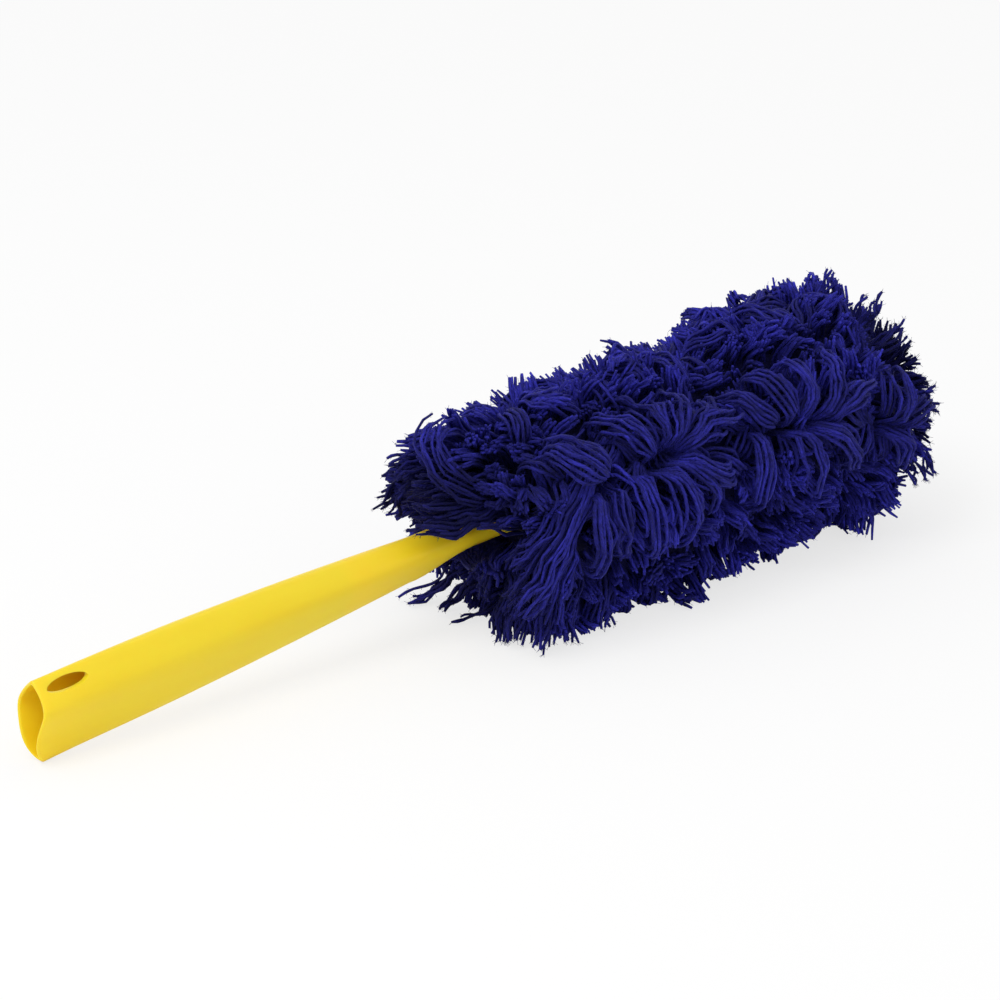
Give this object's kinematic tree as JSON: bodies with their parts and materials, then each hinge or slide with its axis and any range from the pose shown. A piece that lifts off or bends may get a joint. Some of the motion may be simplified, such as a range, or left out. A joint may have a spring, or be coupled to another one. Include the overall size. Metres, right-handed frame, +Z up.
{
  "type": "acrylic yarn duster",
  "caption": "Hand duster with a long fluffy head of looped yarn sewn to a fabric pocket, which slides onto the flat blade of a slender hollow plastic handle with a hanging hole.",
  "frame": {"origin": "on the floor, under the middle of the duster as it lies", "axes": "+X from the butt of the grip to the tip of the head, +Y to the back as seen in the picture, +Z up"},
  "size_m": [0.4774, 0.1172, 0.1141],
  "materials": {
    "yellow_plastic": "satin moulded polypropylene",
    "blue_acrylic_yarn": "matt plied yarn in looped ribbons",
    "blue_sleeve_cloth": "plain woven cloth",
    "blue_binding": "woven tape and folded hem"
  },
  "bodies": {
    "handle": {"handle": "yellow_plastic"},
    "head": {"sleeve_top_panel": "blue_sleeve_cloth", "sleeve_bottom_panel": "blue_sleeve_cloth", "sleeve_front_seam": "blue_binding", "sleeve_back_seam": "blue_binding", "sleeve_tip_seam": "blue_binding", "sleeve_mouth_hem": "blue_binding", "front_seam_tape": "blue_binding", "top_seam_tape": "blue_binding", "back_seam_tape": "blue_binding", "bottom_seam_tape": "blue_binding", "front_yarn_bundle_1": "blue_acrylic_yarn", "front_yarn_bundle_2": "blue_acrylic_yarn", "front_yarn_bundle_3": "blue_acrylic_yarn", "front_yarn_bundle_4": "blue_acrylic_yarn", "front_yarn_bundle_5": "blue_acrylic_yarn", "front_yarn_bundle_6": "blue_acrylic_yarn", "top_yarn_bundle_1": "blue_acrylic_yarn", "top_yarn_bundle_2": "blue_acrylic_yarn", "top_yarn_bundle_3": "blue_acrylic_yarn", "top_yarn_bundle_4": "blue_acrylic_yarn", "top_yarn_bundle_5": "blue_acrylic_yarn", "top_yarn_bundle_6": "blue_acrylic_yarn", "back_yarn_bundle_1": "blue_acrylic_yarn", "back_yarn_bundle_2": "blue_acrylic_yarn", "back_yarn_bundle_3": "blue_acrylic_yarn", "back_yarn_bundle_4": "blue_acrylic_yarn", "back_yarn_bundle_5": "blue_acrylic_yarn", "back_yarn_bundle_6": "blue_acrylic_yarn", "bottom_yarn_bundle_1": "blue_acrylic_yarn", "bottom_yarn_bundle_2": "blue_acrylic_yarn", "bottom_yarn_bundle_3": "blue_acrylic_yarn", "bottom_yarn_bundle_4": "blue_acrylic_yarn", "bottom_yarn_bundle_5": "blue_acrylic_yarn", "bottom_yarn_bundle_6": "blue_acrylic_yarn"}
  },
  "joints": [
    {"name": "head_slide", "type": "slide", "parent": "handle", "child": "head", "axis": [0.9997, 0, 0.026], "range_m": [0, 0.225]}
  ]
}
